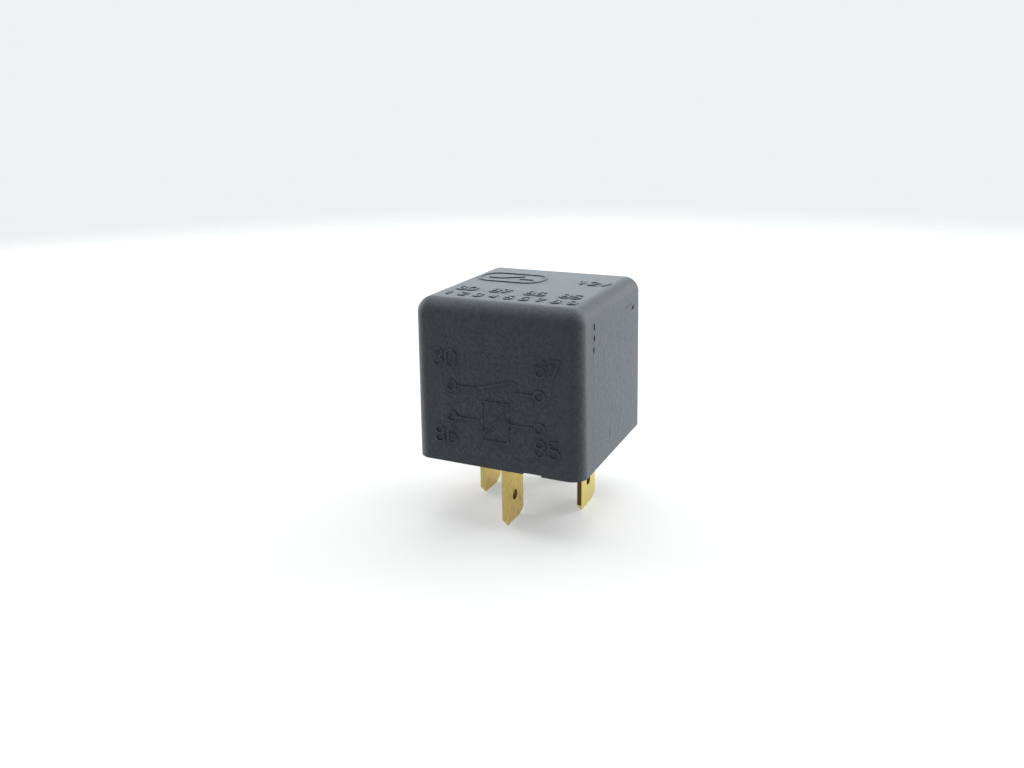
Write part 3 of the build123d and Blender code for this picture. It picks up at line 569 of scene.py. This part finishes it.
for number, wide_axis, tarnish, light, dark, side_tone, tint in (
    ("30", "Y", 0.6, "#F2DCA4", "#D8C285", "#CDB676", "#EDE1AA"),
    ("86", "Y", 0.45, "#EED69E", "#D2B97E", "#D3C480", "#EDE1AA"),
    ("85", "Y", 0.1, "#E4D57E", "#D4C364", "#6A5830", "#FFFFFF"),
    ("87", "X", 0.2, "#E4D57E", "#D4C364", "#8C7840", "#FFFFFF"),
):
    tones = (tarnish, light, dark, side_tone, tint)
    look = rolled_brass(f"rolled_brass_{number}", f"tab_{number}", wide_axis, *tones)
    tab = bevelled(f"terminal_{number}", f"brass_terminal_{number}", 0.07 * MM, look)
    print(tab.name, "faces:", len(tab.data.polygons))

# %% [markdown]
# ## Iron and steel inside
# The yoke, the core and the armature are soft iron with a thin zinc plating, which is a dull
# blue-grey with a faint mottle. The stop bracket and the rivets are nickel-plated steel, a bit
# brighter. The spring is phosphor bronze strip, and the contacts are silver alloy. They differ
# in colour, gloss and the size of their mottle, so one function makes all four.

# %% Metals inside
def plated_metal(name, light, dark, low, high, mottle):
    """A metal between two colours and two roughnesses, with a mottle of a given size."""
    material, tree, shader = new_material(name, Metallic=1.0)
    place = add_node(tree, "TexCoord").outputs["Object"]
    cloud = add_node(tree, "TexNoise", {"Vector": place, "Scale": 1 / mottle, "Detail": 4.0})
    colour = add_node(
        tree,
        "Mix",
        {FACTOR: cloud.outputs["Fac"], FIRST: linear(light), SECOND: linear(dark)},
        data_type="RGBA",
    )
    rough = add_node(tree, "MapRange", {"Value": cloud.outputs["Fac"], "To Min": low, "To Max": high})
    bump = add_node(tree, "Bump", {"Height": cloud.outputs["Fac"], "Strength": 0.2, "Distance": 0.02 * MM})
    tree.links.new(colour.outputs[MIXED], shader.inputs["Base Color"])
    tree.links.new(rough.outputs[0], shader.inputs["Roughness"])
    tree.links.new(bump.outputs["Normal"], shader.inputs["Normal"])
    return material


zinc = plated_metal("zinc_plated_iron", "#C3C6C7", "#9DA2A6", 0.3, 0.5, 0.8 * MM)
nickel = plated_metal("nickel_plated_steel", "#D2CEC4", "#B4AFA3", 0.2, 0.35, 0.5 * MM)
silver = plated_metal("silver_contact_alloy", "#E4E2DC", "#C9C5BB", 0.2, 0.4, 0.3 * MM)
bronze = plated_metal("phosphor_bronze_strip", "#D9A877", "#B98352", 0.22, 0.4, 0.4 * MM)
for name, metal in (
    ("yoke", zinc),
    ("core", zinc),
    ("armature", zinc),
    ("stop_bracket", nickel),
    ("armature_rivets", nickel),
    ("yoke_rivets", nickel),
    ("fixed_contact", silver),
    ("moving_contact", silver),
):
    finish_node(name, metal)
print("metals:", zinc.name, nickel.name, silver.name, bronze.name)

# %% [markdown]
# ## Bobbin and coil
# The bobbin is plain nylon, cream as it comes from the mould and a little see-through, so it
# scatters light under its skin. The coil is enamelled copper wire. Its turns lie side by side, so
# its outside is a row of ridges: the half circle of one turn is repeated up the coil, and the
# whole profile is spun once round. Real wire of such a coil is 0.1 mm, and it is drawn at 0.33 mm
# so that its turns show.

# %% Bobbin and coil
cream, tree, shader = new_material("natural_nylon", IOR=1.53, Subsurface_Weight=0.15, Subsurface_Scale=1 * MM)
place = add_node(tree, "TexCoord").outputs["Object"]
cloud = add_node(tree, "TexNoise", {"Vector": place, "Scale": 1 / (2 * MM), "Detail": 3.0})
colour = add_node(
    tree,
    "Mix",
    {FACTOR: cloud.outputs["Fac"], FIRST: linear("#DDD3B8"), SECOND: linear("#CFC3A2")},
    data_type="RGBA",
)
rough = add_node(tree, "MapRange", {"Value": cloud.outputs["Fac"], "To Min": 0.35, "To Max": 0.5})
tree.links.new(colour.outputs[MIXED], shader.inputs["Base Color"])
tree.links.new(rough.outputs[0], shader.inputs["Roughness"])
finish_node("bobbin", cream)

copper, tree, shader = new_material("enamelled_copper", Metallic=1.0, Coat_Weight=0.8, Coat_Roughness=0.15)
place = add_node(tree, "TexCoord").outputs["Object"]
cloud = add_node(tree, "TexNoise", {"Vector": place, "Scale": 1 / (1.5 * MM), "Detail": 3.0})
colour = add_node(
    tree,
    "Mix",
    {FACTOR: cloud.outputs["Fac"], FIRST: linear("#C8703C"), SECOND: linear("#8E4020")},
    data_type="RGBA",
)
rough = add_node(tree, "MapRange", {"Value": cloud.outputs["Fac"], "To Min": 0.25, "To Max": 0.45})
tree.links.new(colour.outputs[MIXED], shader.inputs["Base Color"])
tree.links.new(rough.outputs[0], shader.inputs["Roughness"])
finish_node("coil_lead_start", copper)
finish_node("coil_lead_end", copper)

coil_low, coil_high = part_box("coil_winding")
COIL_RADIUS = (coil_high.x - coil_low.x) / 2
SPOOL_RADIUS, TURNS, TURN_CORNERS, SPIN_STEPS = 3.8 * MM, 30, 4, 56
coil_middle = (coil_low + coil_high) / 2
turn_radius = (coil_high.z - coil_low.z) / TURNS / 2
bm = bmesh.new()
profile = [bm.verts.new((SPOOL_RADIUS, coil_middle.y, coil_low.z))]
for turn_number in range(TURNS):
    turn_z = coil_low.z + (2 * turn_number + 1) * turn_radius
    for corner in range(TURN_CORNERS):
        angle = pi * ((corner + 0.5) / TURN_CORNERS - 0.5)
        reach = COIL_RADIUS - turn_radius * (1 - cos(angle))
        profile.append(bm.verts.new((reach, coil_middle.y, turn_z + turn_radius * sin(angle))))
profile.append(bm.verts.new((SPOOL_RADIUS, coil_middle.y, coil_high.z)))
edges = [bm.edges.new(pair) for pair in zip(profile, profile[1:] + profile[:1])]
bmesh.ops.spin(
    bm,
    geom=profile + edges,
    cent=(0, coil_middle.y, 0),
    axis=(0, 0, 1),
    angle=2 * pi,
    steps=SPIN_STEPS,
    use_merge=True,
)
bmesh.ops.recalc_face_normals(bm, faces=bm.faces)
winding = link_piece("wound_coil", bm, copper)
shade(winding, 60)
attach(winding, "housing")
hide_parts("coil_winding")
print("coil faces:", len(winding.data.polygons))

# %% [markdown]
# ## The spring that bends
# The contact spring is one leaf of bronze. Its leg is riveted to the yoke, which stands still,
# and its blade to the armature, which tips. The leaf itself is the hinge, so between the rivets
# it must bend. The node is welded and cut across by a row of planes, so that it has loops to
# bend at over the free length between the rivets.

# %% Contact spring
RIVETED_BELOW, BENT_ABOVE, CUTS = RIM_Z + 12.9 * MM, RIM_Z + 20.0 * MM, 10
bm = welded_copy("contact_spring")
for cut in range(CUTS + 1):
    cut_z = RIVETED_BELOW + (BENT_ABOVE - RIVETED_BELOW) * cut / CUTS
    bmesh.ops.bisect_plane(
        bm, geom=bm.verts[:] + bm.edges[:] + bm.faces[:], plane_co=(0, 0, cut_z), plane_no=(0, 0, 1)
    )
spring = link_piece("bronze_spring", bm, bronze)
shade(spring, 40)
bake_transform(spring)
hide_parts("contact_spring")
print("spring faces:", len(spring.data.polygons))

# %% [markdown]
# ## The braid
# A woven copper braid carries the current from the fixed terminal to the moving spring. Its
# route is a smooth curve through the air above the coil. Round that line run bundles of wire,
# half of them turning left and half right, each bundle passing over and under the ones it
# crosses. Every bundle is one curve with a thickness, and the curves are made one mesh at the
# end.

# %% Copper braid
def smooth_line(route, steps):
    """Points along a smooth curve that follows a route of a few points."""
    curve = bpy.data.curves.new("route", "CURVE")
    curve.dimensions = "3D"
    curve.resolution_u = steps
    spline = curve.splines.new("NURBS")
    spline.points.add(len(route) - 1)
    for point, corner in zip(spline.points, route):
        point.co = (*corner, 1)
    spline.order_u = 3
    spline.use_endpoint_u = True
    carrier = bpy.data.objects.new("route", curve)
    mesh = bpy.data.meshes.new_from_object(carrier)
    points = [v.co.copy() for v in mesh.vertices]
    bpy.data.meshes.remove(mesh)
    bpy.data.objects.remove(carrier)
    bpy.data.curves.remove(curve)
    return points


BRAID_ROUTE = [
    Vector((x, y, height)) * MM + Vector((0, 0, RIM_Z))
    for x, y, height in (
        (10.4, -8.5, 6.6),
        (10.4, -8.5, 12.6),
        (10.4, -6.1, 18.6),
        (9.2, -1.02, 21.44),
        (4.5, 3.46, 22.04),
        (-1.5, 3.46, 22.04),
    )
]
BUNDLES, BUNDLE_RADIUS, BRAID_RADIUS, LAY_LENGTH = 12, 0.11 * MM, 0.42 * MM, 5 * MM
line = smooth_line(BRAID_ROUTE, 40)
across = Vector((1, 0, 0))
ring_frames = []
travelled = 0
for here, ahead in zip(line, line[1:]):
    along = (ahead - here).normalized()
    across = (across - along * across.dot(along)).normalized()
    ring_frames.append((here, across.copy(), along.cross(across), travelled))
    travelled += (ahead - here).length
bundle_curve = bpy.data.curves.new("bundles", "CURVE")
bundle_curve.dimensions = "3D"
bundle_curve.bevel_depth = BUNDLE_RADIUS
bundle_curve.bevel_resolution = 1
bundle_curve.use_fill_caps = True
for bundle in range(BUNDLES):
    way = 1 if bundle % 2 else -1
    start_angle = 2 * pi * (bundle // 2) / (BUNDLES / 2)
    spline = bundle_curve.splines.new("POLY")
    spline.points.add(len(ring_frames) - 1)
    for point, (here, first, second, travelled) in zip(spline.points, ring_frames):
        angle = start_angle + way * 2 * pi * travelled / LAY_LENGTH
        reach = BRAID_RADIUS + way * 0.5 * BUNDLE_RADIUS * cos(BUNDLES / 2 * angle)
        point.co = (*(here + reach * (cos(angle) * first + sin(angle) * second)), 1)
carrier = bpy.data.objects.new("bundles", bundle_curve)
braid_mesh = bpy.data.meshes.new_from_object(carrier)
bpy.data.objects.remove(carrier)
bpy.data.curves.remove(bundle_curve)

bare_copper = plated_metal("bare_copper_wire", "#C97B52", "#9A5230", 0.3, 0.5, 0.3 * MM)
braid_mesh.name = "copper_braid"
braid_mesh.materials.clear()
braid_mesh.materials.append(bare_copper)
braid_mesh.shade_smooth()
braid = bpy.data.objects.new("copper_braid", braid_mesh)
bpy.context.scene.collection.objects.link(braid)
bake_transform(braid)
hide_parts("braid")
print("braid faces:", len(braid_mesh.polygons), "length, mm:", round(travelled / MM, 1))
